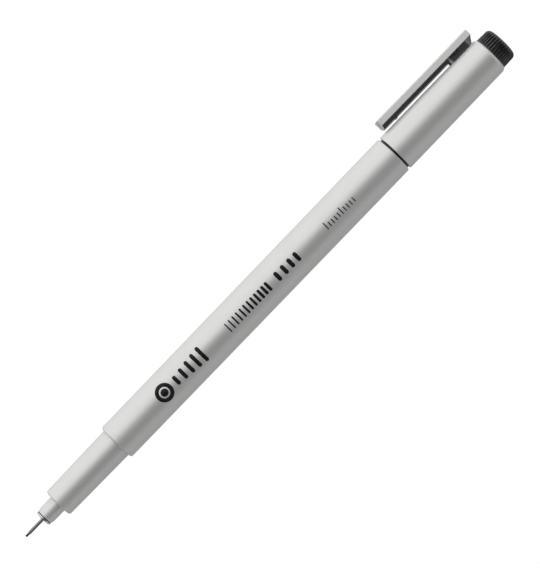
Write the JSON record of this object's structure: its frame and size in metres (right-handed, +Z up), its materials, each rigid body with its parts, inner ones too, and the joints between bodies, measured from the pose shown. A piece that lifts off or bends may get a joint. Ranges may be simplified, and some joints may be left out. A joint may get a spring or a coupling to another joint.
{
  "type": "technical pen",
  "caption": "Slim round drawing pen with a stepped-down grip, a fine metal-sheathed nib, and a clipped cap with a ribbed crown posted on its rear end.",
  "frame": {"origin": "centre of the footprint on the table, with the pen lying on its side and the cap posted", "axes": "+X along the pen towards the cap end, +Y to the side that the clip is on, +Z up from the table"},
  "size_m": [0.1612, 0.0132, 0.0101],
  "materials": {
    "grey_plastic": "silver-grey moulded plastic, satin",
    "clip_plastic": "silver-grey moulded plastic, satin",
    "black_plastic": "black moulded plastic, semi-gloss",
    "steel": "polished stainless steel",
    "nib_black": "ink-soaked fibre point",
    "ink_fibre": "bundled fibre soaked with black ink",
    "clear_film": "thin plastic wrap",
    "natural_plastic": "undyed soft plastic"
  },
  "bodies": {
    "barrel": {"barrel_tube": "grey_plastic", "grip_section": "grey_plastic", "nib_holder": "grey_plastic", "nib_ferrule": "steel", "nib_sheath": "steel", "nib_core": "nib_black", "relay_wick": "ink_fibre", "ink_reservoir": "ink_fibre", "reservoir_film": "clear_film", "tail_plug": "black_plastic"},
    "cap": {"cap_shell": "grey_plastic", "inner_cap": "natural_plastic", "crown_plug": "black_plastic", "clip_foot": "black_plastic"},
    "clip": {"clip_arm": "black_plastic", "clip_cover": "clip_plastic"}
  },
  "joints": [
    {"name": "cap_slide", "type": "slide", "parent": "barrel", "child": "cap", "axis": [1, 0, 0], "range_m": [0, 0.012]},
    {"name": "clip_flex", "type": "hinge", "parent": "cap", "child": "clip", "pos_m": [0.07237, 0.00434, 0.00223], "axis": [0, -0.4364, -0.8997], "range_deg": [0, 4], "stiffness_Nm_per_rad": 1.5}
  ]
}
